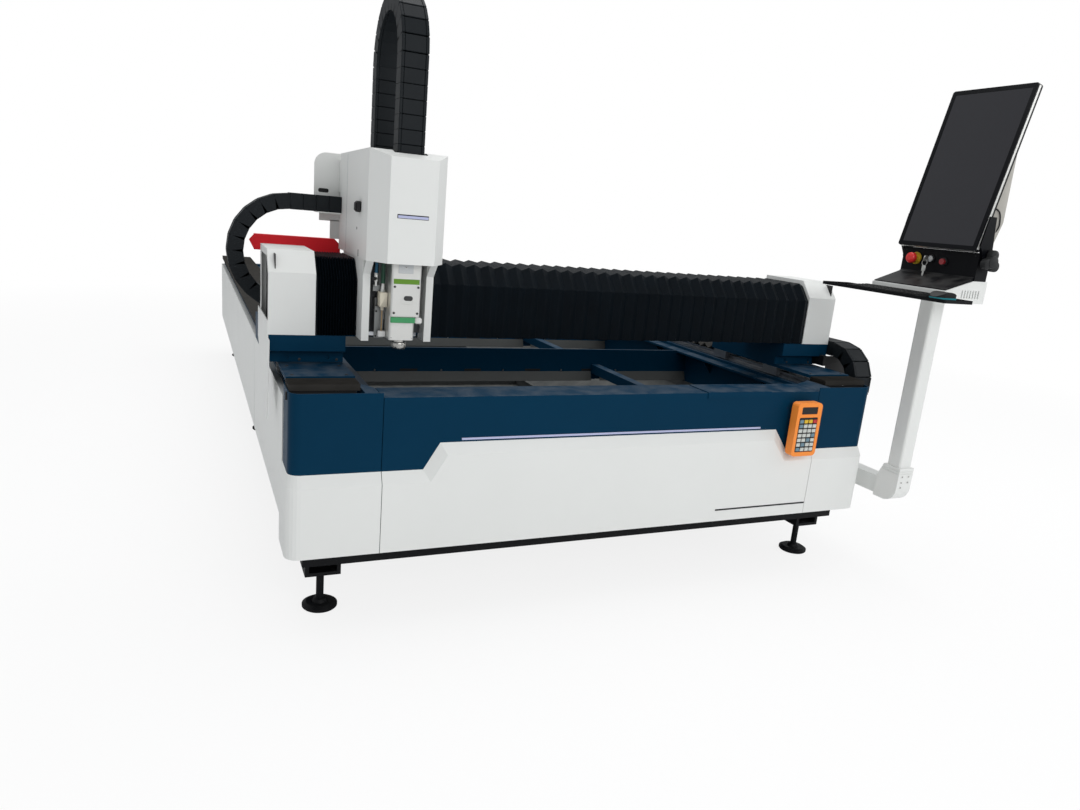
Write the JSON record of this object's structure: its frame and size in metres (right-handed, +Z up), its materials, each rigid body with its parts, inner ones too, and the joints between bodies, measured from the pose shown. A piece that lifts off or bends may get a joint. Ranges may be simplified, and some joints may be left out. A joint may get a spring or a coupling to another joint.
{
  "type": "gantry laser cutting machine",
  "caption": "Flat-bed laser cutter: moving gantry with bellows, cutting head on a carriage with cable chains, and a swing-out console with a monitor",
  "frame": {"origin": "on the floor, under the middle of the machine's bounding box", "axes": "+X along the beam towards the console, +Y from the front panel to the rear, +Z up"},
  "size_m": [2.617, 4.77, 1.8971],
  "materials": {
    "navy_paint": "satin powder coat",
    "white_paint": "satin powder coat",
    "black_paint": "fine texture powder coat",
    "motor_black": "satin paint",
    "red_paint": "satin paint",
    "ground_steel": "ground",
    "plate_grey": "machined",
    "bellows_cloth": "coated cloth",
    "chain_plastic": "moulded",
    "head_silver": "bead blasted and anodised",
    "drawer_green": "anodised",
    "nozzle_silver": "turned and plated",
    "sensor_beige": "moulded",
    "pendant_orange": "moulded",
    "key_black": "moulded",
    "screen_glass": "dark glossy screen",
    "monitor_white": "moulded",
    "button_red": "moulded"
  },
  "bodies": {
    "bed": {"base_frame": "black_paint", "levelling_feet": "black_paint", "bed_frame": "navy_paint", "front_panels": "navy_paint", "front_skirts": "white_paint", "access_lid": "navy_paint", "bed_rails": "ground_steel", "bed_racks": "ground_steel", "way_covers": "bellows_cloth", "trough_frame": "navy_paint", "scrap_chutes": "plate_grey", "bed_panels": "white_paint", "main_chain_tray": "black_paint", "arm_bracket": "navy_paint"},
    "main_loop": {"main_chain": "chain_plastic"},
    "beam_loop": {"beam_chain": "chain_plastic"},
    "pendant": {"pendant": "pendant_orange"},
    "gantry": {"gantry_beam": "navy_paint", "saddles": "navy_paint", "end_caps": "white_paint", "skirt_plate": "white_paint", "saddle_blocks": "ground_steel", "gantry_motors": "motor_black", "beam_rails": "ground_steel", "beam_rack": "ground_steel", "bellows_left": "bellows_cloth", "bellows_right": "bellows_cloth", "red_guard": "red_paint"},
    "pinion_left": {"pinion_left": "ground_steel"},
    "pinion_right": {"pinion_right": "ground_steel"},
    "carriage": {"carriage_plate": "plate_grey", "carriage_blocks": "ground_steel", "carriage_cover": "white_paint", "carriage_sides": "white_paint", "chain_bracket": "white_paint", "carriage_motors": "motor_black", "z_rails": "ground_steel", "z_chain": "chain_plastic"},
    "carriage_pinion": {"carriage_pinion": "ground_steel"},
    "z_screw": {"z_screw": "ground_steel"},
    "head": {"head_plate": "plate_grey", "head_body": "head_silver", "head_lower": "head_silver", "nozzle": "nozzle_silver", "sensor_box": "sensor_beige"},
    "lens_drawer": {"lens_drawer": "drawer_green"},
    "arm": {"swing_arm": "white_paint", "arm_elbow": "white_paint", "post": "white_paint"},
    "console": {"console_base": "white_paint", "keyboard_tray": "black_paint", "control_box": "black_paint", "keyboard": "key_black"},
    "monitor": {"monitor_frame": "black_paint", "monitor_glass": "screen_glass", "monitor_back": "monitor_white"},
    "tilt_clamp": {"tilt_clamp": "key_black"},
    "estop": {"estop_button": "button_red"},
    "key": {"key_switch": "ground_steel"},
    "start_button": {"start_button": "button_red"}
  },
  "joints": [
    {"name": "gantry_slide", "type": "slide", "parent": "bed", "child": "gantry", "axis": [0, 1, 0], "range_m": [0, 3.05], "deforming": ["way_covers", "main_chain"]},
    {"name": "carriage_slide", "type": "slide", "parent": "gantry", "child": "carriage", "axis": [1, 0, 0], "range_m": [0, 1.49], "deforming": ["bellows_left", "bellows_right", "beam_chain"]},
    {"name": "head_slide", "type": "slide", "parent": "carriage", "child": "head", "axis": [0, 0, -1], "range_m": [0, 0.1], "deforming": ["z_chain"]},
    {"name": "main_loop_slide", "type": "slide", "parent": "gantry", "child": "main_loop", "axis": [0, 1, 0], "range_m": [-1.525, 0]},
    {"name": "beam_loop_slide", "type": "slide", "parent": "carriage", "child": "beam_loop", "axis": [1, 0, 0], "range_m": [-0.745, 0]},
    {"name": "drawer_slide", "type": "slide", "parent": "head", "child": "lens_drawer", "axis": [0, -1, 0], "range_m": [0, 0.05]},
    {"name": "pinion_left_turn", "type": "hinge", "parent": "gantry", "child": "pinion_left", "pos_m": [-1.1295, -1.57, 0.725], "axis": [0, 0, 1], "continuous": true},
    {"name": "pinion_right_turn", "type": "hinge", "parent": "gantry", "child": "pinion_right", "pos_m": [0.9805, -1.57, 0.725], "axis": [0, 0, 1], "continuous": true},
    {"name": "carriage_pinion_turn", "type": "hinge", "parent": "carriage", "child": "carriage_pinion", "pos_m": [-0.824, -1.545, 1.06], "axis": [0, 0, 1], "continuous": true},
    {"name": "screw_turn", "type": "hinge", "parent": "carriage", "child": "z_screw", "pos_m": [-0.824, -1.754, 1], "axis": [0, 0, 1], "continuous": true},
    {"name": "console_swing", "type": "hinge", "parent": "bed", "child": "arm", "pos_m": [1.1555, -1.315, 0.34], "axis": [0, 0, 1], "range_deg": [0, 90]},
    {"name": "console_swivel", "type": "hinge", "parent": "arm", "child": "console", "pos_m": [1.1555, -2.1, 1.11], "axis": [0, 0, 1], "range_deg": [0, 90]},
    {"name": "monitor_tilt", "type": "hinge", "parent": "console", "child": "monitor", "pos_m": [1.1705, -2.1, 1.262], "axis": [0, 1, 0], "range_deg": [-8, 15]},
    {"name": "clamp_turn", "type": "hinge", "parent": "console", "child": "tilt_clamp", "pos_m": [1.1705, -2.285, 1.262], "axis": [0, 1, 0], "range_deg": [-180, 0]},
    {"name": "estop_push", "type": "slide", "parent": "console", "child": "estop", "axis": [1, 0, 0], "range_m": [0, 0.006], "stiffness_N_per_m": 900},
    {"name": "key_turn", "type": "hinge", "parent": "console", "child": "key", "pos_m": [1.1405, -2.069, 1.253], "axis": [1, 0, 0], "range_deg": [0, 90]},
    {"name": "start_push", "type": "slide", "parent": "console", "child": "start_button", "axis": [1, 0, 0], "range_m": [0, 0.004], "stiffness_N_per_m": 700},
    {"name": "pendant_lift", "type": "slide", "parent": "bed", "child": "pendant", "axis": [0, -1, 0], "range_m": [0, 0.2]}
  ],
  "couplings": [
    {"joint": "pinion_left_turn", "follows": "gantry_slide", "rad_per_m": -33.333},
    {"joint": "pinion_right_turn", "follows": "gantry_slide", "rad_per_m": 33.333},
    {"joint": "main_loop_slide", "follows": "gantry_slide", "ratio": -0.5},
    {"joint": "beam_loop_slide", "follows": "carriage_slide", "ratio": -0.5},
    {"joint": "carriage_pinion_turn", "follows": "carriage_slide", "rad_per_m": -33.333},
    {"joint": "screw_turn", "follows": "head_slide", "rad_per_m": 628.32}
  ]
}
